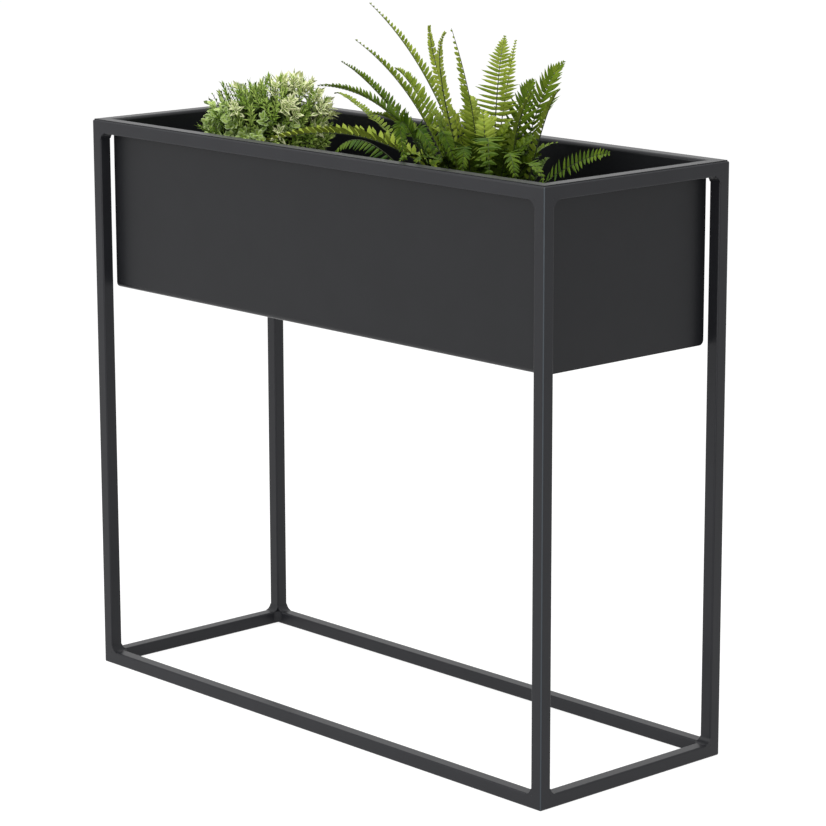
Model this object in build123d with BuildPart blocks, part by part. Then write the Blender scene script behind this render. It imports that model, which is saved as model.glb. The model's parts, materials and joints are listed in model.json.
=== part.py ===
"""Raised planter on legs.

A welded frame of square steel tube carries a lift-out sheet-steel trough. Two nursery pots, one
with a variegated bush and one with a sword fern, stand in the trough.

Millimetres. +X runs along the length, -Y is the front and +Z is up. The origin is on the floor
under the middle of the frame. Every piece is written to its own STEP file in parts/.
"""
import os
from math import cos, radians, sin

from build123d import *

os.makedirs("parts", exist_ok=True)

# ---------------------------------------------------------------- driving dimensions
LENGTH = 1000.0  # frame, outside faces
WIDTH = 370.0
HEIGHT = 880.0

TUBE = 20.0  # square tube
TUBE_WALL = 1.5
TUBE_RADIUS = 2.5
BEAD = 9.0  # leg length of the concave weld in each inner corner

SHEET = 1.5  # trough sheet
TROUGH_GAP = 3.5  # trough wall to the inner face of the tubes
TROUGH_DEPTH = 265.0  # top of the frame to the underside of the trough
FLOOR_BEND = 8.0  # outer radius of the two long bends along the trough floor

DRAIN_RADIUS = 6.0
DRAIN_SPACING = 440.0
PLUG_CLEARANCE = 0.05
PLUG_TAPER = 1.5  # the stem is this much thinner at its foot
PLUG_STEM = 9.0  # length below the top of the trough's floor
PLUG_FLANGE = 11.0  # radius
PLUG_FLANGE_EDGE = 2.0
PLUG_KNOB = 4.0  # radius
PLUG_KNOB_TOP = 9.5
PLUG_CHAMFER = 1.2

POT_WALL = 1.5
POT_RIM_HEIGHT = 12.0
POT_RIM_PROUD = 2.5
POT_FOOT_WIDTH = 8.0  # ring that the pot stands on
POT_FOOT_LIFT = 4.0  # the base inside that ring is this much higher
POT_HOLES = 6
POT_HOLE_RADIUS = 5.0
SOIL_CLEARANCE = 0.3
SOIL_DROP = 16.0  # from the pot's rim down to the soil

BUSH_X = -300.0  # centre of the bush, measured along the trough
BUSH_POT = {"top_radius": 85.0, "base_radius": 65.0, "height": 165.0}
BUSH_STEMS = 40.0  # radius of the bunch of stems at the soil
BUSH_SPREAD = 105.0  # radius of the foliage at rim level
BUSH_TOP = 72.0  # foliage above the rim

FERN_X = 190.0
FERN_POT = {"top_radius": 100.0, "base_radius": 76.0, "height": 180.0}
CROWN_RADIUS = 84.0
CROWN_LEVEL = 800.0  # flat top of the crown that the fronds grow from
FROND_THICKNESS = 2.0
STALK_HALF_WIDTH = 1.6

# Worked out from the sizes above.
TROUGH_X = LENGTH / 2 - TUBE - TROUGH_GAP  # outer faces of the trough
TROUGH_Y = WIDTH / 2 - TUBE - TROUGH_GAP
TROUGH_BASE = HEIGHT - TROUGH_DEPTH
TROUGH_FLOOR = TROUGH_BASE + SHEET
LIP = TROUGH_GAP + TUBE - TUBE_RADIUS  # the rim ends where the rails start to round off
LIP_BEND = TROUGH_GAP  # inside radius of the rim's fold, which bridges the gap to the rails
LIP_FOLD = HEIGHT - LIP_BEND  # level where the walls start to fold outwards
SIDES_X = ((-1, "left"), (1, "right"))
SIDES_Y = ((-1, "front"), (1, "back"))


def write(builder, name):
    """Label a finished piece and write it as parts/NAME.step."""
    builder.part.label = name
    export_step(builder.part, f"parts/{name}.step")


# ---------------------------------------------------------------- welded tube frame
def frame_corner(side_x, side_y, level):
    """Outer corner of the frame; level is 0 at the floor and 1 at the top."""
    return Vector(side_x * LENGTH / 2, side_y * WIDTH / 2, level * HEIGHT)


def inward(corner):
    """The three axis directions that lead from an outer corner into the frame."""
    up = 1 if corner.Z < HEIGHT / 2 else -1
    return (
        Vector(-1 if corner.X > 0 else 1, 0, 0),
        Vector(0, -1 if corner.Y > 0 else 1, 0),
        Vector(0, 0, up),
    )


def tube_plane(start, end):
    """Plane across the tube that runs from one outer corner towards another."""
    along = (end - start).normalized()
    sideways = [way for way in inward(start) if abs(way.dot(along)) < 0.5]
    return Plane(
        origin=start + (sideways[0] + sideways[1]) * (TUBE / 2),
        x_dir=sideways[0],
        z_dir=along,
    )


# The frame as one block with its edges and corners ground round.
with BuildPart() as frame_outline:
    with Locations((0, 0, HEIGHT / 2)):
        Box(LENGTH, WIDTH, HEIGHT)
    fillet(frame_outline.edges(), TUBE_RADIUS)


def frame_tube(name, start, end):
    """Square tube along one edge of the frame, mitred to the other two tubes at each end."""
    along = (end - start).normalized()
    with BuildPart() as tube:
        with BuildSketch(tube_plane(start, end)):
            RectangleRounded(TUBE, TUBE, TUBE_RADIUS)
            bore = TUBE - 2 * TUBE_WALL
            RectangleRounded(bore, bore, TUBE_RADIUS - TUBE_WALL, mode=Mode.SUBTRACT)
        extrude(amount=(end - start).length)
        for corner, inwards in ((start, along), (end, along * -1)):
            for other in inward(corner):
                if abs(other.dot(along)) < 0.5:
                    split(bisect_by=Plane(origin=corner, z_dir=inwards - other), keep=Keep.TOP)
        add(frame_outline.part, mode=Mode.INTERSECT)
    write(tube, name)


for side_x, x_name in SIDES_X:
    for side_y, y_name in SIDES_Y:
        foot = frame_corner(side_x, side_y, 0)
        head = frame_corner(side_x, side_y, 1)
        frame_tube(f"leg_{y_name}_{x_name}", foot, head)

for level, z_name in ((0, "bottom"), (1, "top")):
    for side_y, y_name in SIDES_Y:
        left = frame_corner(-1, side_y, level)
        right = frame_corner(1, side_y, level)
        frame_tube(f"{z_name}_rail_{y_name}", left, right)
    for side_x, x_name in SIDES_X:
        front = frame_corner(side_x, -1, level)
        back = frame_corner(side_x, 1, level)
        frame_tube(f"{z_name}_rail_{x_name}", front, back)


def weld_plane(corner, run):
    """Plane across the inner corner line that runs from the frame's outside along run."""
    first, second = [way for way in inward(corner) if way != run]
    if first.cross(second).dot(run) < 0:
        first, second = second, first
    return Plane(origin=corner + (first + second) * TUBE, x_dir=first, z_dir=run)


def corner_weld(corner):
    """The three concave beads between the tubes that meet in one corner, as wide as the tubes.

    Their section reaches into the tubes by the edge radius and the tubes are cut from it, so
    that the beads fill the rounded edges.
    """
    belly = 0.35 * BEAD
    with BuildPart() as weld:
        for run in inward(corner):
            # the bead between two rails stays clear of the fold in the trough's rim
            start = LIP_BEND if run.Z else 0
            with BuildSketch(weld_plane(corner, run).offset(start)):
                with BuildLine():
                    Polyline(
                        (0, BEAD),
                        (-TUBE_RADIUS, BEAD),
                        (-TUBE_RADIUS, -TUBE_RADIUS),
                        (BEAD, -TUBE_RADIUS),
                        (BEAD, 0),
                    )
                    ThreePointArc((BEAD, 0), (belly, belly), (0, BEAD))
                make_face()
            extrude(amount=TUBE - start)
        for way in inward(corner):
            with BuildSketch(tube_plane(corner, corner + way)):
                RectangleRounded(TUBE, TUBE, TUBE_RADIUS)
            extrude(amount=2 * (TUBE + BEAD), mode=Mode.SUBTRACT)
    return weld.part


for level, z_name in ((0, "bottom"), (1, "top")):
    corners = [frame_corner(side_x, side_y, level) for side_x, _ in SIDES_X for side_y, _ in SIDES_Y]
    welds = [corner_weld(corner) for corner in corners]
    with BuildPart() as corner_welds:
        add(welds)
    write(corner_welds, f"{z_name}_corner_welds")


# ---------------------------------------------------------------- sheet-steel trough
def beyond_end(side_x):
    """Plan of everything beyond one end of the trough's rim, out to the 45-degree mitres."""
    reach = 2 * LIP
    with BuildSketch(Plane.XY.offset(LIP_FOLD)) as plan:
        with BuildLine():
            Polyline(
                (side_x * (TROUGH_X - TROUGH_Y), 0),
                (side_x * (TROUGH_X + reach), TROUGH_Y + reach),
                (side_x * (TROUGH_X + reach), -TROUGH_Y - reach),
                close=True,
            )
        make_face()
    return plan.sketch


with BuildPart() as trough_body:
    # Front wall, floor and back wall are one sheet, with the rims folded out along the top.
    with BuildSketch(Plane.YZ.offset(-TROUGH_X - LIP)):
        with BuildLine():
            FilletPolyline(
                (-TROUGH_Y - LIP, HEIGHT),
                (-TROUGH_Y, HEIGHT),
                (-TROUGH_Y, TROUGH_BASE),
                (TROUGH_Y, TROUGH_BASE),
                (TROUGH_Y, HEIGHT),
                (TROUGH_Y + LIP, HEIGHT),
                radius=[LIP_BEND, FLOOR_BEND, FLOOR_BEND, LIP_BEND],
            )
            offset(amount=SHEET, side=Side.LEFT)
        make_face()
    extrude(amount=2 * (TROUGH_X + LIP))
    for side_x, _ in SIDES_X:
        below_fold = (LIP_FOLD + TROUGH_BASE) / 2
        with Locations((side_x * (TROUGH_X + LIP / 2), 0, below_fold)):
            Box(LIP, 2 * (TROUGH_Y + LIP), LIP_FOLD - TROUGH_BASE, mode=Mode.SUBTRACT)
        extrude(beyond_end(side_x), amount=LIP, mode=Mode.SUBTRACT)
    with BuildSketch(Plane.XY.offset(TROUGH_BASE)):
        with GridLocations(DRAIN_SPACING, 0, 3, 1):
            Circle(DRAIN_RADIUS)
    extrude(amount=SHEET, mode=Mode.SUBTRACT)
write(trough_body, "trough_body")

with BuildPart() as trough_end_right:
    # The rim of the end is folded like the long ones and mitred to them.
    with BuildSketch(Plane.XZ.offset(-TROUGH_Y - LIP)):
        with BuildLine():
            FilletPolyline(
                (TROUGH_X, LIP_FOLD - SHEET),
                (TROUGH_X, HEIGHT),
                (TROUGH_X + LIP, HEIGHT),
                radius=LIP_BEND,
            )
            offset(amount=SHEET, side=Side.LEFT)
        make_face()
    extrude(amount=2 * (TROUGH_Y + LIP))
    extrude(beyond_end(1), amount=LIP, mode=Mode.INTERSECT)
    # The plate below it stands inside the U of the body.
    with BuildSketch(Plane.YZ.offset(TROUGH_X - SHEET)):
        inner_y = TROUGH_Y - SHEET
        inner_bend = FLOOR_BEND - SHEET
        with BuildLine():
            FilletPolyline(
                (-inner_y, LIP_FOLD),
                (-inner_y, TROUGH_FLOOR),
                (inner_y, TROUGH_FLOOR),
                (inner_y, LIP_FOLD),
                radius=inner_bend,
            )
            Line((inner_y, LIP_FOLD), (-inner_y, LIP_FOLD))
        make_face()
    extrude(amount=SHEET)
write(trough_end_right, "trough_end_right")

with BuildPart() as trough_end_left:
    mirror(trough_end_right.part, about=Plane.YZ)
write(trough_end_left, "trough_end_left")

for index, place in enumerate(("left", "middle", "right")):
    plug_x = (index - 1) * DRAIN_SPACING
    stem = DRAIN_RADIUS - PLUG_CLEARANCE
    with BuildPart() as drain_plug:
        with BuildSketch(Plane(origin=(plug_x, 0, TROUGH_FLOOR), x_dir=(1, 0, 0), z_dir=(0, -1, 0))):
            with BuildLine():
                Polyline(
                    (0, -PLUG_STEM),
                    (stem - PLUG_TAPER, -PLUG_STEM),
                    (stem, -SHEET),
                    (stem, 0),
                    (PLUG_FLANGE, 0),
                    (PLUG_FLANGE, PLUG_FLANGE_EDGE),
                    (PLUG_KNOB, PLUG_FLANGE_EDGE + PLUG_CHAMFER),
                    (PLUG_KNOB, PLUG_KNOB_TOP - PLUG_CHAMFER),
                    (PLUG_KNOB - PLUG_CHAMFER, PLUG_KNOB_TOP),
                    (0, PLUG_KNOB_TOP),
                    close=True,
                )
            make_face()
        revolve(axis=Axis((plug_x, 0, 0), (0, 0, 1)))
    write(drain_plug, f"drain_plug_{place}")


# ---------------------------------------------------------------- nursery pots and their soil
def nursery_pot(name, centre_x, top_radius, base_radius, height):
    """Tapered thin-walled pot with a rim band, a raised base and a ring of drainage holes."""
    rim_base = height - POT_RIM_HEIGHT
    foot = base_radius - POT_RIM_PROUD
    below_rim = foot + (top_radius - base_radius) * rim_base / height
    floor = POT_FOOT_LIFT + POT_WALL
    with BuildPart() as pot:
        with BuildSketch(Plane(origin=(centre_x, 0, TROUGH_FLOOR), x_dir=(1, 0, 0), z_dir=(0, -1, 0))):
            with BuildLine():
                Polyline(
                    (0, POT_FOOT_LIFT),
                    (foot - POT_FOOT_WIDTH - POT_FOOT_LIFT, POT_FOOT_LIFT),
                    (foot - POT_FOOT_WIDTH, 0),
                    (foot, 0),
                    (below_rim, rim_base),
                    (top_radius, rim_base),
                    (top_radius, height),
                    (top_radius - POT_RIM_PROUD - POT_WALL, height),
                    (foot - POT_WALL, floor),
                    (0, floor),
                    close=True,
                )
            make_face()
        revolve(axis=Axis((centre_x, 0, 0), (0, 0, 1)))
        with BuildSketch(Plane(origin=(centre_x, 0, TROUGH_FLOOR))):
            with PolarLocations(foot * 0.6, POT_HOLES):
                Circle(POT_HOLE_RADIUS)
        extrude(amount=2 * floor, mode=Mode.SUBTRACT)
    write(pot, name)


def potting_soil(name, centre_x, top_radius, base_radius, height):
    """Soil that fills a pot up to SOIL_DROP under its rim."""
    floor = POT_FOOT_LIFT + POT_WALL
    level = height - SOIL_DROP
    inside = base_radius - POT_RIM_PROUD - POT_WALL - SOIL_CLEARANCE
    inside_at_level = inside + (top_radius - base_radius) * (level - floor) / (height - floor)
    with BuildPart() as soil:
        with BuildSketch(Plane(origin=(centre_x, 0, TROUGH_FLOOR), x_dir=(1, 0, 0), z_dir=(0, -1, 0))):
            with BuildLine():
                Polyline((0, floor), (inside, floor), (inside_at_level, level), (0, level), close=True)
            make_face()
        revolve(axis=Axis((centre_x, 0, 0), (0, 0, 1)))
    write(soil, name)


nursery_pot("bush_pot", BUSH_X, **BUSH_POT)
potting_soil("bush_soil", BUSH_X, **BUSH_POT)
nursery_pot("fern_pot", FERN_X, **FERN_POT)
potting_soil("fern_soil", FERN_X, **FERN_POT)


# ---------------------------------------------------------------- bush
with BuildPart() as bush_foliage:
    bush_soil_level = TROUGH_FLOOR + BUSH_POT["height"] - SOIL_DROP
    rim_level = HEIGHT - bush_soil_level
    top_level = rim_level + BUSH_TOP
    with BuildSketch(Plane(origin=(BUSH_X, 0, bush_soil_level), x_dir=(1, 0, 0), z_dir=(0, -1, 0))):
        with BuildLine():
            Polyline(
                (0, 0),
                (BUSH_STEMS, 0),
                (BUSH_SPREAD * 0.85, rim_level * 0.45),
                (BUSH_SPREAD, rim_level),
                (BUSH_SPREAD * 0.93, rim_level + BUSH_TOP * 0.4),
                (BUSH_SPREAD * 0.72, rim_level + BUSH_TOP * 0.77),
                (BUSH_SPREAD * 0.36, top_level),
                (0, top_level),
                close=True,
            )
        make_face()
    revolve(axis=Axis((BUSH_X, 0, 0), (0, 0, 1)))
write(bush_foliage, "bush_foliage")


# ---------------------------------------------------------------- fern
with BuildPart() as fern_crown:
    fern_soil_level = TROUGH_FLOOR + FERN_POT["height"] - SOIL_DROP
    crown_height = CROWN_LEVEL - fern_soil_level
    with BuildSketch(Plane(origin=(FERN_X, 0, fern_soil_level), x_dir=(1, 0, 0), z_dir=(0, -1, 0))):
        with BuildLine():
            Polyline(
                (0, 0),
                (CROWN_RADIUS, 0),
                (CROWN_RADIUS, crown_height * 0.6),
                (CROWN_RADIUS * 0.93, crown_height),
                (0, crown_height),
                close=True,
            )
        make_face()
    revolve(axis=Axis((FERN_X, 0, 0), (0, 0, 1)))
write(fern_crown, "fern_crown")

# One row per frond, as a curve that rises from the crown, bends over and falls to its tip:
# direction in plan (degrees from +X), distance from the crown's axis at the root, the point
# that the curve bends towards and the tip, both as (distance from the axis, rise above the
# crown), and half the width of the leaf.
FRONDS = (
    # long fronds that lean out to the left
    (175, 22, (96, 184), (274, 276), 20),
    (187, 45, (108, 157), (247, 226), 20),
    (163, 35, (131, 116), (252, 153), 20),
    (172, 78, (242, 146), (374, 178), 15),
    (180, 60, (185, 161), (366, 145), 12),
    (162, 74, (279, 71), (471, 116), 16),
    (200, 60, (109, 132), (350, 70), 18),
    (210, 72, (192, 127), (257, 73), 18),
    # upright fronds in the middle
    (185, 18, (130, 303), (106, 257), 10),
    (225, 14, (70, 290), (60, 253), 10),
    (164, 20, (48, 190), (104, 248), 10),
    (112, 27, (62, 293), (72, 244), 28),
    (115, 56, (102, 270), (126, 230), 14),
    # fronds to the right
    (349, 80, (152, 240), (199, 236), 26),
    (39, 45, (32, 88), (74, 176), 18),
    (34, 60, (112, 196), (111, 170), 12),
    (355, 76, (169, 71), (283, 109), 18),
    # fronds that arch over the front, by turns an inner one and a lower one outside it
    (228, 40, (92, 168), (98, 88), 16),
    (245, 62, (106, 142), (122, 52), 16),
    (262, 40, (90, 170), (98, 88), 16),
    (279, 62, (106, 138), (126, 50), 16),
    (296, 40, (90, 168), (102, 88), 16),
    (313, 62, (104, 138), (126, 52), 16),
    (330, 40, (92, 166), (110, 88), 16),
    # low fronds at the back
    (20, 70, (120, 60), (190, 96), 18),
    (58, 72, (112, 62), (160, 96), 18),
    (82, 74, (104, 62), (140, 100), 18),
    (108, 74, (108, 60), (150, 96), 18),
    (136, 70, (125, 68), (190, 110), 20),
)
# The leaf's half width along the frond, as shares of its length and of its widest half width.
FROND_WIDTHS = ((0.0, 0.0), (0.12, 0.0), (0.3, 0.6), (0.5, 1.0), (0.72, 0.8), (0.9, 0.35), (1.0, 0.0))


def frond(azimuth, root_out, bend, tip, half_width):
    """Arched, lance-shaped leaf: cross-sections lofted along the frond's curve."""
    outwards = Vector(cos(radians(azimuth)), sin(radians(azimuth)), 0)
    side_on = Plane(origin=(FERN_X, 0, CROWN_LEVEL), x_dir=outwards, z_dir=outwards.cross(Vector(0, 0, 1)))
    with BuildLine(side_on) as midrib:
        Bezier((root_out, 0), bend, tip)
    with BuildPart() as leaf:
        for place, share in FROND_WIDTHS:
            section = Plane(
                origin=midrib.line @ place,
                x_dir=side_on.z_dir,
                z_dir=midrib.line % place,
            )
            with BuildSketch(section):
                width = STALK_HALF_WIDTH + (half_width - STALK_HALF_WIDTH) * share
                Rectangle(2 * width, FROND_THICKNESS)
        loft(ruled=True)
        split(bisect_by=Plane.XY.offset(CROWN_LEVEL), keep=Keep.TOP)
    return leaf.part


fronds = [frond(*row) for row in FRONDS]
with BuildPart() as fern_fronds:
    add(fronds)
write(fern_fronds, "fern_fronds")
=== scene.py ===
"""Looks of the raised planter: powder-coated steel, nursery pots, a variegated bush and a fern.

The metal, the pots and the plugs are the solids of the frame with better materials. The soil, the
bush and the fern are built here, leaf by leaf, in the space that their solids hold. Metres, in the
frame of the model: +X along the length, -Y the front, +Z up.
"""
import json
import math
import random

import bpy
from mathutils import Matrix, Vector, noise


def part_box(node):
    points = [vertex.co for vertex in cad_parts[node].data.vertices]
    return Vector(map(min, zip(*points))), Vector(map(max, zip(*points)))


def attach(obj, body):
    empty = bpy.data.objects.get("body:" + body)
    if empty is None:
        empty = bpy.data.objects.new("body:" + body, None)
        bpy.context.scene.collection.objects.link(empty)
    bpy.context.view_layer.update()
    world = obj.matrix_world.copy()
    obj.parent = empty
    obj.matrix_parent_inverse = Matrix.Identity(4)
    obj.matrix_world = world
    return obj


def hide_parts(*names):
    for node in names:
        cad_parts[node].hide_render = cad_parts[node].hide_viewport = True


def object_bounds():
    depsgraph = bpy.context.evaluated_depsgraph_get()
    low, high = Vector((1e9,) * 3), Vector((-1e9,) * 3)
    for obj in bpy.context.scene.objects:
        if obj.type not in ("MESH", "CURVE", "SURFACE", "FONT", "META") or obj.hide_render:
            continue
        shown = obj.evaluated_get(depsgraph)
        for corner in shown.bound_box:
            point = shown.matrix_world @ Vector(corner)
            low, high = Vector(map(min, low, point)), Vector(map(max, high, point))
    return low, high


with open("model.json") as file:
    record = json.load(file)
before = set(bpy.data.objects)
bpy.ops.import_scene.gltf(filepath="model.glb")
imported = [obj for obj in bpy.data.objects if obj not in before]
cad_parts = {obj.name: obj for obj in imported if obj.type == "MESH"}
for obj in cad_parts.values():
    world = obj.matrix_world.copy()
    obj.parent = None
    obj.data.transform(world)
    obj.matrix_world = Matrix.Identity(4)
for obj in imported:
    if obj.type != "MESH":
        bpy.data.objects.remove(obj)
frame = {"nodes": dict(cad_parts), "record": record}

CAD_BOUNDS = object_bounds()
NODES = frame["nodes"]
MM = 0.001
UP = Vector((0, 0, 1))


def add_object(name, data):
    """Puts a new object into the scene."""
    made = bpy.data.objects.new(name, data)
    bpy.context.scene.collection.objects.link(made)
    return made


# ---------------------------------------------------------------- material helpers
BLACK = (0, 0, 0)
WHITE = (1, 1, 1)
MIX_INPUTS = (0, 6, 7)  # factor, first and second colour of a Mix node
MIX_RESULT = 2
CORNER_START = 0.2  # a normal leaning this far outwards both ways starts a corner's painted highlight
CORNER_FULL = 0.55


class Shader:
    """One procedural material under construction."""

    def __init__(self, name, roughness, specular=0.5):
        self.material = bpy.data.materials.new(name)
        self.material.use_nodes = True
        self.nodes = self.material.node_tree.nodes
        self.surface = self.nodes["Principled BSDF"]
        self.surface.inputs["Roughness"].default_value = roughness
        self.surface.inputs["Specular IOR Level"].default_value = specular
        self.place = self.nodes.new("ShaderNodeTexCoord").outputs["Object"]

    def link(self, source, target):
        self.material.node_tree.links.new(source, target)

    def noise(self, grain, detail=2.0):
        """Noise whose lumps are about grain metres across."""
        node = self.nodes.new("ShaderNodeTexNoise")
        node.inputs["Scale"].default_value = 1 / grain
        node.inputs["Detail"].default_value = detail
        self.link(self.place, node.inputs["Vector"])
        return node.outputs["Fac"]

    def ramp(self, factor, *stops):
        """Colour ramp; a stop is (position, colour)."""
        node = self.nodes.new("ShaderNodeValToRGB")
        elements = node.color_ramp.elements
        while len(elements) < len(stops):
            elements.new(0.5)
        for element, (position, colour) in zip(elements, stops):
            element.position = position
            element.color = (*colour, 1)
        self.link(factor, node.inputs["Fac"])
        return node.outputs["Color"]

    def mix(self, factor, first, second, blend="MIX"):
        node = self.nodes.new("ShaderNodeMix")
        node.data_type = "RGBA"
        node.blend_type = blend
        sockets = [node.inputs[place] for place in MIX_INPUTS]
        for value, socket in zip((factor, first, second), sockets):
            if isinstance(value, bpy.types.NodeSocket):
                self.link(value, socket)
            elif isinstance(value, tuple):
                socket.default_value = (*value, 1)
            else:
                socket.default_value = value
        return node.outputs[MIX_RESULT]

    def attribute(self, name):
        node = self.nodes.new("ShaderNodeAttribute")
        node.attribute_name = name
        return node.outputs["Fac"]

    def spread(self, factor, low, high):
        """Factor from 0 to 1 mapped to low to high."""
        node = self.nodes.new("ShaderNodeMapRange")
        node.inputs["To Min"].default_value = low
        node.inputs["To Max"].default_value = high
        self.link(factor, node.inputs["Value"])
        return node.outputs["Result"]

    def outer_corners(self):
        """1 along the outer upright corners of the frame, 0 elsewhere: the mask of a painted
        highlight.
        """
        spot = self.nodes.new("ShaderNodeNewGeometry")
        quarter = self.nodes.new("ShaderNodeVectorMath")
        quarter.operation = "SIGN"
        self.link(spot.outputs["Position"], quarter.inputs[0])
        outward = self.nodes.new("ShaderNodeVectorMath")
        outward.operation = "MULTIPLY"
        self.link(quarter.outputs["Vector"], outward.inputs[0])
        self.link(spot.outputs["Normal"], outward.inputs[1])
        parts = self.nodes.new("ShaderNodeSeparateXYZ")
        self.link(outward.outputs["Vector"], parts.inputs[0])
        least = self.nodes.new("ShaderNodeMath")
        least.operation = "MINIMUM"
        self.link(parts.outputs["X"], least.inputs[0])
        self.link(parts.outputs["Y"], least.inputs[1])
        node = self.nodes.new("ShaderNodeMapRange")
        node.inputs["From Min"].default_value = CORNER_START
        node.inputs["From Max"].default_value = CORNER_FULL
        self.link(least.outputs["Value"], node.inputs["Value"])
        return node.outputs["Result"]

    def bump(self, height, depth, strength=1.0, under=None):
        node = self.nodes.new("ShaderNodeBump")
        node.inputs["Strength"].default_value = strength
        node.inputs["Distance"].default_value = depth
        self.link(height, node.inputs["Height"])
        if under:
            self.link(under, node.inputs["Normal"])
        return node.outputs["Normal"]

    def finish(self, colour=None, roughness=None, normal=None):
        for value, socket in ((colour, "Base Color"), (roughness, "Roughness"), (normal, "Normal")):
            if value:
                self.link(value, self.surface.inputs[socket])
        return self.material


def shade(colour, factor):
    """The colour made darker or lighter by a factor."""
    return tuple(channel * factor for channel in colour)


COAT_SPECULAR = 0.22
COAT_ROUGHNESS = (0.29, 0.42)
LEAF_SPECULAR = 0.12


def powder_coat(name, colour, painted_corner_highlight=None):
    """Fine-textured satin powder coat: orange peel, a finer grain on it, faint mottling.

    The last argument is the paler colour painted along the outer upright corners as a highlight.
    """
    coat = Shader(name, roughness=0.5, specular=COAT_SPECULAR)
    peel = coat.noise(1.6 * MM, detail=3)
    grain = coat.noise(0.5 * MM)
    mottle = coat.noise(60 * MM, detail=4)
    tint = coat.ramp(mottle, (0.35, shade(colour, 0.93)), (0.65, shade(colour, 1.07)))
    tint = coat.mix(coat.spread(grain, 0, 0.3), tint, shade(colour, 1.5))
    # Painted highlight: the outer upright corners are given a paler colour.
    if painted_corner_highlight:
        tint = coat.mix(coat.outer_corners(), tint, painted_corner_highlight)
    normal = coat.bump(peel, 0.12 * MM, 0.35)
    normal = coat.bump(grain, 0.05 * MM, 0.3, under=normal)
    return coat.finish(tint, coat.spread(peel, *COAT_ROUGHNESS), normal)


def pot_plastic():
    """Thin thermoformed pot: faint horizontal draw lines and scuffs."""
    plastic = Shader("pot_plastic", roughness=0.5, specular=0.4)
    scuff = plastic.noise(9 * MM, detail=5)
    tint = plastic.ramp(scuff, (0.3, (0.012, 0.012, 0.012)), (0.75, (0.03, 0.029, 0.027)))
    rings = plastic.nodes.new("ShaderNodeTexWave")
    rings.bands_direction = "Z"
    rings.inputs["Scale"].default_value = 120
    rings.inputs["Distortion"].default_value = 0.6
    plastic.link(plastic.place, rings.inputs["Vector"])
    normal = plastic.bump(rings.outputs["Fac"], 0.15 * MM, 0.3)
    return plastic.finish(tint, plastic.spread(scuff, 0.35, 0.65), normal)


def rubber():
    """Matt rubber with a dusty bloom."""
    matt = Shader("plug_rubber", roughness=0.75, specular=0.3)
    bloom = matt.noise(2.5 * MM, detail=5)
    tint = matt.ramp(bloom, (0.3, (0.010, 0.010, 0.011)), (0.8, (0.028, 0.028, 0.029)))
    return matt.finish(tint, matt.spread(bloom, 0.65, 0.85), matt.bump(bloom, 0.1 * MM, 0.4))


def potting_mix():
    """Moist peat with paler fibres and bits of bark."""
    mix = Shader("potting_mix", roughness=0.9, specular=0.2)
    crumb = mix.noise(5 * MM, detail=8)
    chips = mix.noise(14 * MM, detail=3)
    tint = mix.ramp(
        crumb,
        (0.3, (0.008, 0.005, 0.003)),
        (0.55, (0.028, 0.017, 0.010)),
        (0.8, (0.09, 0.06, 0.035)),
    )
    tint = mix.mix(mix.ramp(chips, (0.6, BLACK), (0.72, WHITE)), tint, (0.06, 0.035, 0.018))
    return mix.finish(tint, mix.spread(crumb, 0.75, 1.0), mix.bump(crumb, 2 * MM, 0.8))


def leaf_skin(name, tones, margin, margin_start, gloss):
    """Leaf whose colour follows its own tone, with mottling, fine veins and a pale margin.

    tones are the stops of a ramp over the tone, and margin is the margin's colour and strength.
    It starts at margin_start between the ridge (0) and the edge (1); gloss is the roughness.
    """
    skin = Shader(name, roughness=gloss, specular=LEAF_SPECULAR)
    tone = skin.ramp(skin.attribute("tone"), *tones)
    mottle = skin.noise(4 * MM, detail=3)
    dark = skin.mix(0.6, tone, shade(WHITE, 0.6), blend="MULTIPLY")
    tone = skin.mix(skin.ramp(mottle, (0.35, BLACK), (0.7, WHITE)), dark, tone)
    near_edge = skin.attribute("margin")
    edge = skin.ramp(near_edge, (margin_start, BLACK), (margin_start + 0.25, WHITE))
    colour = skin.mix(edge, tone, skin.mix(margin[1], tone, margin[0]))
    veins = skin.noise(1.2 * MM, detail=2)
    roughness = skin.spread(mottle, gloss - 0.08, gloss + 0.12)
    return skin.finish(colour, roughness, skin.bump(veins, 0.2 * MM, 0.5))


def bark(name, colour):
    """Stalk: colour streaked along it, a little rough."""
    stalk = Shader(name, roughness=0.55, specular=0.3)
    streak = stalk.noise(3 * MM, detail=4)
    tint = stalk.ramp(streak, (0.3, shade(colour, 0.6)), (0.7, shade(colour, 1.25)))
    return stalk.finish(tint, None, stalk.bump(streak, 0.2 * MM, 0.4))


def paint(material, *nodes):
    """Makes a material the only one of some CAD nodes."""
    for node in nodes:
        mesh = NODES[node].data
        mesh.materials.clear()
        mesh.materials.append(material)


# The frame's outer upright corners get a paler colour as a painted highlight.
FRAME_COAT = powder_coat("frame_coat", (0.0225, 0.0231, 0.0268), painted_corner_highlight=(0.078, 0.092, 0.106))
TROUGH_COAT = powder_coat("trough_coat", (0.0120, 0.0125, 0.0147))
PLASTIC = pot_plastic()
RUBBER = rubber()
MIX = potting_mix()

record_bodies = frame["record"]["behaviour"]["bodies"]
paint(FRAME_COAT, *record_bodies["frame"])
paint(TROUGH_COAT, *record_bodies["trough"])
paint(PLASTIC, "bush_pot", "fern_pot")
paint(RUBBER, "drain_plug_left", "drain_plug_middle", "drain_plug_right")


# ---------------------------------------------------------------- leaves and stalks
RIDGE = 0.1  # height of a leaf's ridge as a share of its width


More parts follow.
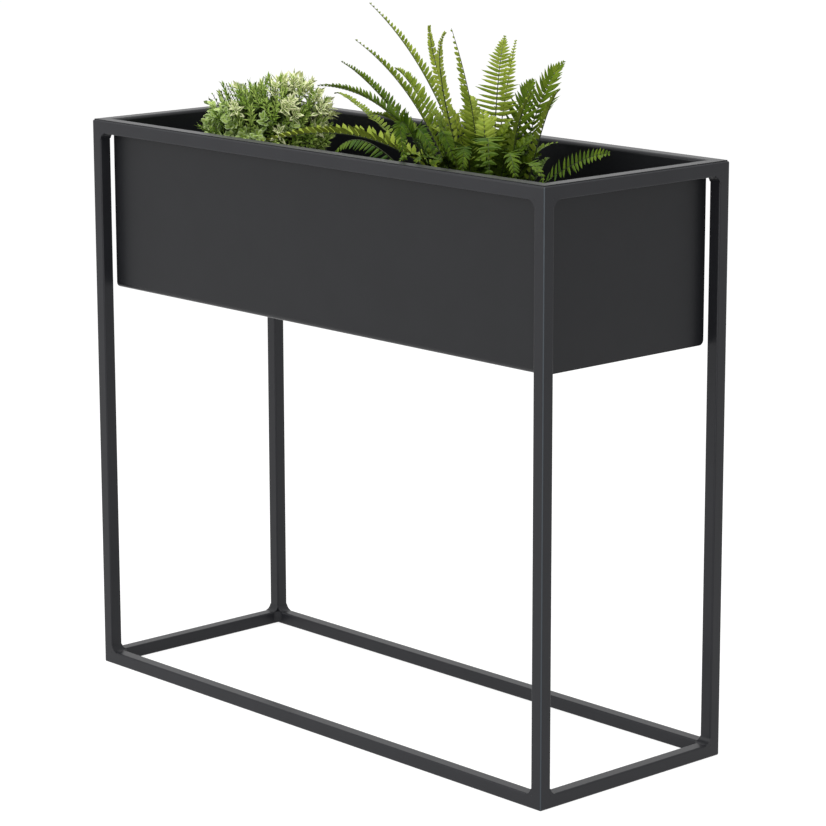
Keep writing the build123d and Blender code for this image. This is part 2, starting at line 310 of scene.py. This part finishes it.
class Foliage:
    """Closed leaves and stalks of one piece.

    Every point has a tone, from dark to light, and a margin: 1 on a leaf's edge and 0 elsewhere.
    """

    def __init__(self):
        self.points = []
        self.faces = []
        self.tones = []
        self.margins = []
        self.slots = []

    def add_point(self, point, tone, margin):
        self.points.append(point)
        self.tones.append(tone)
        self.margins.append(margin)
        return len(self.points) - 1

    def add_face(self, corners, slot):
        self.faces.append(corners)
        self.slots.append(slot)

    def leaf(self, base, along, face, length, width, tone, outline, bow, slot=0):
        """A leaf from base with a ridge along its middle, closed to a point at its tip.

        outline holds (share of the length, share of the width) pairs; face is the side that looks
        up and bow is how far the tip is bent off the straight line.
        """
        across = along.cross(face).normalized()
        ridge = across.cross(along).normalized() * (RIDGE * width)
        rings = []
        for share, breadth in outline:
            centre = base + along * (length * share) + bow * share**2
            half = across * (width * breadth / 2)
            rings.append((
                self.add_point(centre - half, tone, 1),
                self.add_point(centre + ridge, tone, 0),
                self.add_point(centre + half, tone, 1),
            ))
        tip = self.add_point(base + along * length + bow, tone, 1)
        self.add_face(rings[0][::-1], slot)
        for near, far in zip(rings, rings[1:]):
            for side in range(3):
                after = (side + 1) % 3
                self.add_face((near[side], near[after], far[after], far[side]), slot)
        for side in range(3):
            self.add_face((rings[-1][side], rings[-1][(side + 1) % 3], tip), slot)

    def stalk(self, line, thick, thin, tone=0.5, sides=5, slot=1):
        """Tapered closed tube along a line of points."""
        rings = []
        for index, point in enumerate(line):
            before = line[max(index - 1, 0)]
            after = line[min(index + 1, len(line) - 1)]
            along = (after - before).normalized()
            side = along.orthogonal().normalized() if not rings else across
            across = (side - along * side.dot(along)).normalized()
            other = along.cross(across)
            radius = thick + (thin - thick) * index / (len(line) - 1)
            ring = []
            for corner in range(sides):
                turn = 2 * math.pi * corner / sides
                offset = across * (radius * math.cos(turn)) + other * (radius * math.sin(turn))
                ring.append(self.add_point(point + offset, tone, 0))
            rings.append(ring)
        self.add_face(tuple(reversed(rings[0])), slot)
        self.add_face(tuple(rings[-1]), slot)
        for near, far in zip(rings, rings[1:]):
            for corner in range(sides):
                after = (corner + 1) % sides
                self.add_face((near[corner], near[after], far[after], far[corner]), slot)

    def piece(self, name, body, slot, *materials):
        """Makes one object of all leaves and stalks so far."""
        mesh = bpy.data.meshes.new(name)
        mesh.from_pydata(self.points, [], self.faces)
        for material in materials:
            mesh.materials.append(material)
        mesh.polygons.foreach_set("material_index", self.slots)
        for attribute, values in (("tone", self.tones), ("margin", self.margins)):
            mesh.attributes.new(attribute, "FLOAT", "POINT").data.foreach_set("value", values)
        mesh.update()
        made = add_object(name, mesh)
        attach(made, body)
        return made


def heading(azimuth):
    """Level unit vector; degrees from +X."""
    return Vector((math.cos(math.radians(azimuth)), math.sin(math.radians(azimuth)), 0))


def curve_point(root, control, tip, share):
    """Point of a quadratic Bezier curve."""
    return root * (1 - share) ** 2 + control * (2 * share * (1 - share)) + tip * share**2


# ---------------------------------------------------------------- soil
SEGMENTS = 72
RINGS = 16
COARSE_CRUMBS = 22 * MM
COARSE_DIP = 0.45  # share of the depth
FINE_CRUMBS = 6 * MM
FINE_DIP = 0.35


def crumbly(name, node, body, depth, seed, material):
    """The solid of a soil or crown node with a crumbly top that dips up to depth below its own."""
    low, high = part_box(node)
    centre = (low + high) / 2
    top_radius = (high.x - low.x) / 2
    base_points = [v.co for v in NODES[node].data.vertices if v.co.z < low.z + 0.1 * MM]
    base_radius = max((point.xy - centre.xy).length for point in base_points)
    points = [Vector((centre.x, centre.y, low.z))]
    for radius, level in ((base_radius, low.z), (top_radius, high.z - depth)):
        for corner in range(SEGMENTS):
            way = heading(360 * corner / SEGMENTS)
            points.append(Vector((centre.x, centre.y, level)) + way * radius)
    walls = len(points)
    for ring in range(RINGS - 1, 0, -1):
        for corner in range(SEGMENTS):
            way = heading(360 * corner / SEGMENTS)
            points.append(Vector((centre.x, centre.y, 0)) + way * (top_radius * ring / RINGS))
    points.append(Vector((centre.x, centre.y, 0)))
    for point in points[walls:]:
        spot = Vector((point.x, point.y, seed))
        coarse = noise.noise(spot / COARSE_CRUMBS)
        fine = noise.noise(spot / FINE_CRUMBS)
        dip = 0.5 + COARSE_DIP * coarse + FINE_DIP * fine
        point.z = high.z - depth * min(1, max(0, dip))
    faces = []
    for corner in range(SEGMENTS):
        after = (corner + 1) % SEGMENTS
        faces.append((0, 1 + after, 1 + corner))
        for ring in range(RINGS):
            near = 1 + ring * SEGMENTS
            far = near + SEGMENTS
            faces.append((near + corner, near + after, far + after, far + corner))
        last = 1 + RINGS * SEGMENTS
        faces.append((last + corner, last + after, len(points) - 1))
    mesh = bpy.data.meshes.new(name)
    mesh.from_pydata(points, [], faces)
    mesh.materials.append(material)
    mesh.update()
    made = add_object(name, mesh)
    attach(made, body)
    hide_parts(node)


crumbly("bush_potting_mix", "bush_soil", "potted_bush", 7 * MM, 1.5, MIX)
crumbly("fern_potting_mix", "fern_soil", "potted_fern", 7 * MM, 4.5, MIX)


# ---------------------------------------------------------------- fern
FERN_GREENS = (
    (0.0, (0.006, 0.022, 0.001)),
    (0.35, (0.030, 0.085, 0.003)),
    (0.65, (0.138, 0.222, 0.008)),
    (1.0, (0.40, 0.49, 0.060)),
)
FERN_MARGIN = (0.34, 0.43, 0.10)
FERN_LEAF = leaf_skin("fern_leaf", FERN_GREENS, (FERN_MARGIN, 0.12), 0.7, 0.45)
FERN_STALK = bark("fern_stalk", (0.035, 0.05, 0.012))
CROWN_FIBRE = bark("crown_fibre", (0.03, 0.018, 0.009))
crown_low, crown_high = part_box("fern_crown")
CROWN = Vector(((crown_low.x + crown_high.x) / 2, (crown_low.y + crown_high.y) / 2, crown_high.z))
crumbly("fern_crown_fibre", "fern_crown", "potted_fern", 6 * MM, 8.5, CROWN_FIBRE)

# Outlines of a leaf: share of its length and share of its width, from the base on.
OVATE = ((0, 0.45), (0.2, 1.0), (0.68, 0.85))
LANCE = ((0, 0.6), (0.15, 1.0), (0.65, 0.68))


class Style:
    """How the leaflets of a frond stand; millimetres and degrees, each pair from root to tip."""

    def __init__(self, pitch, width, outline, lean, taper=0.7, swell=1.4, hook=0.15):
        self.pitch = pitch * MM
        self.width = width * MM
        self.outline = outline
        self.lean = lean  # towards the tip of the frond
        self.taper = taper  # larger for a frond that thins out early
        self.swell = swell  # smaller for a frond that is narrow at its root
        self.hook = hook  # bend of each leaflet towards the tip of the frond


SWORD = Style(8.0, 7.0, OVATE, (12, 36))
SLENDER = Style(7.2, 5.6, OVATE, (20, 40), taper=0.75, swell=2.5)
BROAD = Style(8.6, 8.2, OVATE, (4, 34), taper=0.6)
FINE = Style(6.2, 4.4, LANCE, (16, 40), taper=0.6, hook=0.25)
COMB = Style(7.6, 4.6, LANCE, (-2, 26), taper=0.45, swell=2.0, hook=0.05)
PINNATE = Style(11.0, 6.4, LANCE, (0, 14), taper=0.5, swell=2.5, hook=0.1)
FEATHER = Style(7.2, 5.2, LANCE, (-2, 24), taper=0.9, swell=2.0, hook=0.05)
HOOKED = Style(8.2, 6.6, LANCE, (24, 44), taper=0.5, swell=1.0, hook=0.3)
PLUME = Style(8.4, 6.4, LANCE, (22, 42), taper=0.85, swell=1.4, hook=0.3)
LOBED = Style(10.0, 8.0, OVATE, (14, 34), taper=0.6)

# One row per frond, in millimetres and degrees: direction in plan; distance of the root from the
# crown's centre; control point and tip of its curve as (out, up) from the crown; length of its
# leaflets; their style; tone from dark to light, partly the frond's own green and partly painted
# light; how far they fold up; how far the tip sweeps sideways; how far the frond twists about its
# stalk.
FRONDS = (
    # long fronds that lean out to the left
    (175, 22, (96, 184), (274, 275), 24, SWORD, 0.78, 62, 0, 0),
    (187, 45, (108, 157), (247, 226), 24, SWORD, 0.70, 60, 0, 0),
    (163, 20, (228, 165), (300, 171), 26, BROAD, 0.74, 56, 0, 0),
    (174, 74, (230, 148), (355, 180), 26, SWORD, 0.52, 56, 0, 0),
    (180, 60, (185, 161), (366, 145), 24, HOOKED, 0.50, 54, 0, 0),
    (170, 43, (391, 138), (412, 124), 18, SWORD, 0.74, 30, 0, 0),
    (203, 28, (158, 144), (374, 70), 34, LOBED, 0.88, 52, 0, 0),
    (215, 76, (178, 136), (222, 73), 30, COMB, 0.42, -38, 0, 0),
    (180, 50, (160, 124), (246, 112), 30, BROAD, 0.66, 46, 0, 0),
    # slender upright fronds in the middle
    (185, 18, (110, 230), (106, 254), 16, SLENDER, 0.92, 12, 0, -48),
    (225, 14, (84, 220), (56, 252), 15, SLENDER, 0.92, 20, 0, 80),
    (195, 16, (-5, 98), (55, 255), 34, SLENDER, 0.76, -58, 0, 0),
    # broad upright fronds
    (112, 29, (40, 190), (74, 241), 60, FEATHER, 0.80, 8, 0, 0),
    (112, 20, (78, 170), (114, 231), 30, FEATHER, 0.95, 14, 0, 0),
    (75, 50, (84, 166), (134, 204), 54, PLUME, 0.60, 26, 0, 46),
    (80, 40, (64, 150), (86, 180), 46, PLUME, 0.56, 18, 0, 40),
    (39, 45, (32, 118), (74, 172), 26, BROAD, 0.72, 30, 0, 0),
    (34, 56, (92, 160), (111, 172), 18, SLENDER, 0.72, 62, 0, 0),
    (15, 43, (146, 86), (208, 92), 24, COMB, 0.46, 18, 0, 58),
    # short broad fronds that fill the middle and lean back from the front
    (140, -48, (-30, 110), (14, 140), 28, BROAD, 0.80, 14, 0, 0),
    (108, -30, (-4, 116), (34, 128), 27, BROAD, 0.82, 14, 0, 0),
    (168, -20, (20, 112), (66, 134), 28, BROAD, 0.84, 16, 0, 0),
    (190, 10, (50, 96), (98, 112), 27, BROAD, 0.74, 22, 0, 0),
    (75, -6, (20, 104), (46, 124), 26, BROAD, 0.72, 14, 0, 0),
    (130, -76, (-66, 60), (-34, 92), 26, BROAD, 0.52, 12, 0, 0),
    (150, 26, (50, 150), (104, 152), 24, BROAD, 0.84, 20, 0, 20),
    (160, 20, (40, 130), (88, 176), 22, BROAD, 0.88, 20, 0, 20),
    (172, 40, (90, 120), (140, 128), 24, BROAD, 0.70, 30, 0, 0),
    (95, 10, (20, 90), (60, 104), 26, BROAD, 0.66, 10, 0, 0),
    (205, 20, (30, 120), (62, 150), 26, BROAD, 0.82, 16, 0, 0),
    (60, 20, (40, 96), (84, 100), 28, BROAD, 0.54, 20, 0, 20),
    (50, 30, (50, 70), (84, 74), 28, BROAD, 0.54, 30, 0, 20),
    # fronds that arch over the front
    (250, 60, (157, 229), (133, 62), 26, FINE, 0.44, 12, 31, -80),
    (245, 50, (146, 197), (85, 77), 24, FINE, 0.38, 12, 67, -70),
    (270, 45, (120, 203), (92, 66), 26, FINE, 0.44, 14, 44, -50),
    (300, 52, (92, 165), (110, 56), 30, FINE, 0.44, 14, 0, 0),
    (320, 45, (69, 187), (118, 60), 38, PINNATE, 0.44, 12, 0, 0),
    (335, 60, (95, 150), (140, 56), 32, FINE, 0.48, 14, 0, 0),
    (348, 66, (105, 118), (160, 56), 26, BROAD, 0.50, 16, 0, 0),
    (242, 40, (96, 104), (126, 70), 28, BROAD, 0.50, 14, 0, 0),
    (255, 36, (84, 108), (114, 68), 28, BROAD, 0.48, 14, 0, 0),
    (268, 36, (72, 106), (98, 66), 28, BROAD, 0.50, 14, 0, 0),
    # low fronds at the back
    (82, 74, (100, 56), (118, 62), 20, SWORD, 0.46, 20, 0, 0),
    (108, 74, (108, 60), (148, 92), 20, SWORD, 0.40, 20, 0, 0),
    (136, 70, (125, 68), (180, 100), 20, SWORD, 0.40, 20, 0, 0),
)


FROND_STEPS = 24
ROOT_SUNK = 5 * MM
STALK_THICK = 1.3 * MM
STALK_THIN = 0.4 * MM
BARE = 0.1  # share of a frond at its root without leaflets
ROOT_LEAFLET = 0.45  # length of the first leaflets as a share of the longest
SHORTEST_LEAFLET = 3.2
TONE_RISE = 0.14  # from the root of a frond to its tip
NUDGE = 0.01  # share of a frond to each side of the spot where its direction is taken


def frond(
    foliage, rng, azimuth, root_out, control, tip, leaflet, style, tone, fold, sweep, twist,
):
    """One frond: a tapered stalk with two rows of leaflets that shorten towards the tip."""
    out = heading(azimuth)
    aside = UP.cross(out)
    root = CROWN + out * (root_out * MM) - UP * ROOT_SUNK
    bend = CROWN + (out * control[0] + UP * control[1]) * MM
    end = CROWN + (out * tip[0] + UP * tip[1]) * MM

    def at(share):
        return curve_point(root, bend, end, share) + aside * (sweep * MM * share**2)

    line = [at(step / FROND_STEPS) for step in range(FROND_STEPS + 1)]
    foliage.stalk(line, STALK_THICK, STALK_THIN, tone)
    length = sum((b - a).length for a, b in zip(line, line[1:]))
    pairs = int(length * (1 - BARE) / style.pitch)
    lean_root, lean_tip = style.lean
    for index in range(pairs):
        progress = (index + 0.5) / pairs
        share = BARE + (1 - BARE) * progress
        along = (at(min(share + NUDGE, 1)) - at(share - NUDGE)).normalized()
        beside = (aside - along * aside.dot(along)).normalized()
        turn = math.radians(twist * min(1, 2 * progress))
        beside.rotate(Matrix.Rotation(turn, 3, along))
        up = along.cross(beside)
        swell = min(1, ROOT_LEAFLET + style.swell * progress)
        size = leaflet * swell * (1 - progress) ** style.taper
        for side in (-1, 1):
            reach = max(size * rng.uniform(0.88, 1.1), SHORTEST_LEAFLET) * MM
            lean = math.radians(
                lean_root + (lean_tip - lean_root) * progress + rng.uniform(-6, 6)
            )
            lift = math.radians(fold + rng.uniform(-9, 9))
            flat = beside * (side * math.cos(lift)) + up * math.sin(lift)
            way = flat * math.cos(lean) + along * math.sin(lean)
            face = up * math.cos(lift) - beside * (side * math.sin(lift))
            bow = (along * style.hook - face * rng.uniform(0.02, 0.16)) * reach
            foliage.leaf(
                at(share) + along * (rng.uniform(-0.6, 0.6) * MM), way, face,
                reach, min(style.width, reach * 0.62 + 0.6 * MM),
                tone + TONE_RISE * (progress - 0.4) + rng.uniform(-0.09, 0.09),
                style.outline, bow,
            )


FERN_SEED = 7
rng = random.Random(FERN_SEED)
for index, row in enumerate(FRONDS):
    foliage = Foliage()
    frond(foliage, rng, *row)
    name = f"fern_frond_{index + 1:02d}"
    made = foliage.piece(name, "potted_fern", "fern_leaf", FERN_LEAF, FERN_STALK)
    if index == 0:
        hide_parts("fern_fronds")

# Young fronds fill the crown between the large ones; the lower a young frond rises, the darker its
# tone, as painted shade in the crown.
YOUNG = 30
foliage = Foliage()
for index in range(YOUNG):
    azimuth = 360 * index / YOUNG + rng.uniform(-8, 8)
    root_out = rng.uniform(8, 62)
    rise = rng.uniform(50, 112)
    reach = root_out + rng.uniform(18, 60)
    frond(
        foliage, rng, azimuth, root_out, (root_out + 6, rise * 0.8), (reach, rise * 0.85),
        rng.uniform(18, 27), BROAD, 0.16 + 0.005 * (rise - 50) + rng.uniform(0, 0.2),
        rng.uniform(8, 24), rng.uniform(-14, 14), 0,
    )
foliage.piece("fern_young_fronds", "potted_fern", "fern_leaf", FERN_LEAF, FERN_STALK)


# ---------------------------------------------------------------- bush
BUSH_GREENS = (
    (0.0, (0.012, 0.030, 0.004)),
    (0.4, (0.090, 0.190, 0.010)),
    (0.7, (0.25, 0.42, 0.040)),
    (1.0, (0.52, 0.67, 0.17)),
)
# Margins of the bush's leaves.
CREAM = (0.88, 0.91, 0.54)
PALE_GREEN = (0.44, 0.58, 0.18)
MINT = (0.56, 0.70, 0.34)
BUSH_LEAF = leaf_skin("bush_leaf", BUSH_GREENS, (PALE_GREEN, 0.35), 0.6, 0.5)
BUSH_VARIEGATED = leaf_skin("bush_variegated_leaf", BUSH_GREENS, (CREAM, 0.95), 0.25, 0.5)
BUSH_MINT = leaf_skin("bush_mint_leaf", BUSH_GREENS, (MINT, 0.8), 0.4, 0.5)
BUSH_STEM = bark("bush_stem", (0.040, 0.042, 0.016))
NARROW = ((0, 0.4), (0.5, 1.0))
ROUND = ((0, 0.3), (0.3, 0.9), (0.75, 0.9))

bush_low, bush_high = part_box("bush_foliage")
BUSH = Vector(((bush_low.x + bush_high.x) / 2, (bush_low.y + bush_high.y) / 2, bush_low.z))
BUSH_RADIUS = (bush_high.x - bush_low.x) / 2
BUSH_HEIGHT = bush_high.z - bush_low.z
BUSH_MIDDLE = BUSH + UP * (BUSH_HEIGHT * 0.52)
BUSH_RISE = BUSH_HEIGHT * 0.48


class Tuft:
    """Leaves on the end of a twig; millimetres and degrees.

    spread is how far the lowest and the top leaf stand off the twig.
    """

    def __init__(self, outline, length, width, count, leafy, spread, slot=0):
        self.outline = outline
        self.length = length * MM
        self.width = width * MM
        self.count = count
        self.leafy = leafy * MM  # stretch of the twig that bears them
        self.spread = spread
        self.slot = slot


NEEDLES = Tuft(NARROW, 14, 3.2, 24, 32, (66, 18))
ROSETTE = Tuft(NARROW, 18.5, 7.0, 13, 18, (82, 26), slot=2)
OVALS = Tuft(ROUND, 16, 10, 10, 22, (80, 34), slot=3)
BUDS = Tuft(ROUND, 5.5, 3.6, 7, 26, (60, 30))


TWIG_STEPS = 6
TWIG_THICK = 1.0 * MM
TWIG_THIN = 0.5 * MM
LEAF_TURN = 137.5  # degrees from one leaf of a twig to the next
CREAM_SIDE = 47  # directions in plan, in degrees from +X
MINT_SIDE = 262


def sprig(foliage, rng, root, tip, way, tuft, tone):
    """A twig that curves from root to tip, where it points along way and bears a tuft."""
    reach = (tip - root).length
    bend = tip - way * (reach * 0.5)
    line = [curve_point(root, bend, tip, step / TWIG_STEPS) for step in range(TWIG_STEPS + 1)]
    foliage.stalk(line, TWIG_THICK, TWIG_THIN, tone, sides=4)
    turn = rng.uniform(0, 360)
    low_spread, top_spread = tuft.spread
    for index in range(tuft.count):
        share = index / (tuft.count - 1)
        spot = curve_point(root, bend, tip, 1 - (1 - share) * tuft.leafy / reach)
        side = way.orthogonal().normalized()
        side.rotate(Matrix.Rotation(math.radians(turn + LEAF_TURN * index), 3, way))
        spread = math.radians(
            low_spread + (top_spread - low_spread) * share + rng.uniform(-10, 10)
        )
        along = way * math.cos(spread) + side * math.sin(spread)
        face = way * math.sin(spread) - side * math.cos(spread)
        size = rng.uniform(0.75, 1.15) * (1 - 0.25 * share)
        shade_of_leaf = tone + 0.24 * (share - 0.5) + rng.uniform(-0.14, 0.14)
        foliage.leaf(
            spot, along, face, tuft.length * size, tuft.width * size,
            min(1, max(0, shade_of_leaf)),
            tuft.outline, face * (rng.uniform(-0.2, 0.1) * tuft.length), slot=tuft.slot,
        )


def choose_tuft(rng, azimuth, level):
    """Tuft and tone by the side of the bush: three kinds of plant grow together in it."""
    cream_side = math.cos(math.radians(azimuth - CREAM_SIDE))
    mint_side = math.cos(math.radians(azimuth - MINT_SIDE))
    if level > 0.1 and rng.random() < 0.07 + 0.48 * max(0, cream_side):
        return ROSETTE, rng.uniform(0.45, 0.75)
    if level < 0.62 and rng.random() < 0.72 * max(0, mint_side):
        return OVALS, rng.uniform(0.75, 1.1)
    if level > 0.4 and rng.random() < 0.16:
        return BUDS, rng.uniform(0.1, 0.3)
    return NEEDLES, rng.uniform(0.55, 1.0)


BUSH_SEED = 21
SPRIGS = 215
INNER = 95  # sprigs that close the bush from inside, dark as painted shade
PER_PIECE = 62
GOLDEN_ANGLE = 137.508
LEVELS = 1.18  # the sprigs go from level 1, straight up, down to a little below 0
CLUMP_DEPTH = 0.22
CLUMP_GRAIN = 2.2
CLUMP_SPOT = Vector((3, 1, 7))
CREAM_BULGE = 0.08
FLAT_TOP = 0.07
BUD_REACH = 1.1  # bud stems stand out of the bush
rng = random.Random(BUSH_SEED)
foliage = Foliage()
for index in range(SPRIGS + INNER):
    outer = index < SPRIGS
    share = (index + 0.5) / SPRIGS if outer else (index - SPRIGS + 0.5) / INNER
    level = 1 - LEVELS * share
    azimuth = (GOLDEN_ANGLE * index + rng.uniform(-8, 8)) % 360
    out = heading(azimuth)
    radial = out * math.sqrt(max(0, 1 - level * level)) + UP * level
    clump = 1 + CLUMP_DEPTH * noise.noise(radial * CLUMP_GRAIN + CLUMP_SPOT)
    depth = rng.uniform(0.86, 1.0) if outer else rng.uniform(0.5, 0.82)
    # Inner sprigs get a dark tone: painted shade inside the bush.
    tuft, tone = choose_tuft(rng, azimuth, level) if outer else (NEEDLES, rng.uniform(0.1, 0.4))
    boxy = (radial.xy.length ** 3 + abs(level) ** 3) ** (-1 / 3)
    if tuft is BUDS:
        boxy *= BUD_REACH
    bulge = 1 + CREAM_BULGE * math.cos(math.radians(azimuth - CREAM_SIDE))
    reach = clump * depth * boxy * bulge * (1 - FLAT_TOP * max(0, level))
    tip = BUSH_MIDDLE + Vector((
        radial.x * BUSH_RADIUS * reach,
        radial.y * BUSH_RADIUS * reach,
        radial.z * BUSH_RISE * reach,
    ))
    upward = 0.55 if tuft in (NEEDLES, BUDS) else 0.25
    stray = Vector((rng.uniform(-0.4, 0.4), rng.uniform(-0.4, 0.4), 0))
    way = (radial + UP * upward + stray).normalized()
    root = BUSH + out * (rng.uniform(8, 30) * MM) + UP * (6 * MM)
    sprig(foliage, rng, root, tip, way, tuft, tone)
    if (index + 1) % PER_PIECE == 0:
        name = f"bush_sprigs_{(index + 1) // PER_PIECE}"
        foliage.piece(
            name, "potted_bush", "bush_leaf", BUSH_LEAF, BUSH_STEM, BUSH_VARIEGATED, BUSH_MINT,
        )
        foliage = Foliage()
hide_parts("bush_foliage")


# ---------------------------------------------------------------- camera, floor and light
CAMERA_PLACE = Vector((3.5458, -3.2209, 1.5126))
CAMERA_AZIMUTH = 47.4475
CAMERA_ELEVATION = 12.3593
CAMERA_ROLL = -0.1395
CAMERA_LENS = 141.05  # millimetres
CAMERA_SENSOR = 36
camera_data = bpy.data.cameras.new("camera")
camera_data.lens = CAMERA_LENS
camera_data.sensor_width = CAMERA_SENSOR
camera_data.clip_end = 100
camera = add_object("camera", camera_data)
camera.location = CAMERA_PLACE
camera.rotation_euler = (
    Matrix.Rotation(math.radians(CAMERA_AZIMUTH), 3, "Z")
    @ Matrix.Rotation(math.radians(90 - CAMERA_ELEVATION), 3, "X")
    @ Matrix.Rotation(math.radians(CAMERA_ROLL), 3, "Z")
).to_euler()
bpy.context.scene.camera = camera
bpy.context.scene.view_settings.view_transform = "Standard"


def seen_directly(nodes, links):
    """1 for camera, glossy and transmission rays, which see the pale studio as white."""
    path = nodes.new("ShaderNodeLightPath")
    total = path.outputs["Is Camera Ray"]
    for ray in ("Is Glossy Ray", "Is Transmission Ray"):
        node = nodes.new("ShaderNodeMath")
        node.operation = "MAXIMUM"
        links.new(total, node.inputs[0])
        links.new(path.outputs[ray], node.inputs[1])
        total = node.outputs[0]
    return total


AMBIENT = 0.42
world = bpy.data.worlds.new("studio")
bpy.context.scene.world = world
world.use_nodes = True
nodes = world.node_tree.nodes
links = world.node_tree.links
ambient = nodes["Background"]
ambient.inputs["Color"].default_value = (1, 1, 1, 1)
ambient.inputs["Strength"].default_value = AMBIENT
white = nodes.new("ShaderNodeBackground")
white.inputs["Color"].default_value = (1, 1, 1, 1)
white.inputs["Strength"].default_value = 1
choose = nodes.new("ShaderNodeMixShader")
links.new(seen_directly(nodes, links), choose.inputs[0])
links.new(ambient.outputs[0], choose.inputs[1])
links.new(white.outputs[0], choose.inputs[2])
links.new(choose.outputs[0], nodes["World Output"].inputs["Surface"])

FLOOR_SIZE = 30.0
FLOOR_GREY = (0.35, 0.35, 0.35, 1)
FLOOR_GLOW = 0.88
floor_mesh = bpy.data.meshes.new("floor")
half = FLOOR_SIZE / 2
corners = [(-half, -half, 0), (half, -half, 0), (half, half, 0), (-half, half, 0)]
floor_mesh.from_pydata(corners, [], [(0, 1, 2, 3)])
add_object("floor", floor_mesh)
floor_material = bpy.data.materials.new("pale_floor")
floor_material.use_nodes = True
nodes = floor_material.node_tree.nodes
links = floor_material.node_tree.links
matt = nodes["Principled BSDF"]
matt.inputs["Base Color"].default_value = FLOOR_GREY
matt.inputs["Roughness"].default_value = 1
matt.inputs["Specular IOR Level"].default_value = 0
glow = nodes.new("ShaderNodeEmission")
glow.inputs["Strength"].default_value = FLOOR_GLOW
dark = nodes.new("ShaderNodeEmission")
dark.inputs["Strength"].default_value = 0
lit = nodes.new("ShaderNodeMixShader")
links.new(seen_directly(nodes, links), lit.inputs[0])
links.new(dark.outputs[0], lit.inputs[1])
links.new(glow.outputs[0], lit.inputs[2])
both = nodes.new("ShaderNodeAddShader")
links.new(matt.outputs[0], both.inputs[0])
links.new(lit.outputs[0], both.inputs[1])
links.new(both.outputs[0], nodes["Material Output"].inputs["Surface"])
floor_mesh.materials.append(floor_material)


def softbox(name, place, target, size, power):
    """Square area lamp that faces a target; size in metres, power in watts."""
    data = bpy.data.lights.new(name, "AREA")
    data.shape = "SQUARE"
    data.size = size
    data.energy = power
    light = add_object(name, data)
    light.location = place
    light.rotation_euler = (Vector(target) - Vector(place)).to_track_quat("-Z", "Y").to_euler()


middle = (CAD_BOUNDS[0] + CAD_BOUNDS[1]) / 2
softbox("top_softbox", (0.2, -0.2, 3.4), middle, 2.6, 62)
softbox("front_softbox", (-1.6, -3.6, 1.9), middle, 2.0, 50)
softbox("edge_softbox", (3.4, -2.6, 0.5), (0, 0, 0.3), 0.9, 30)
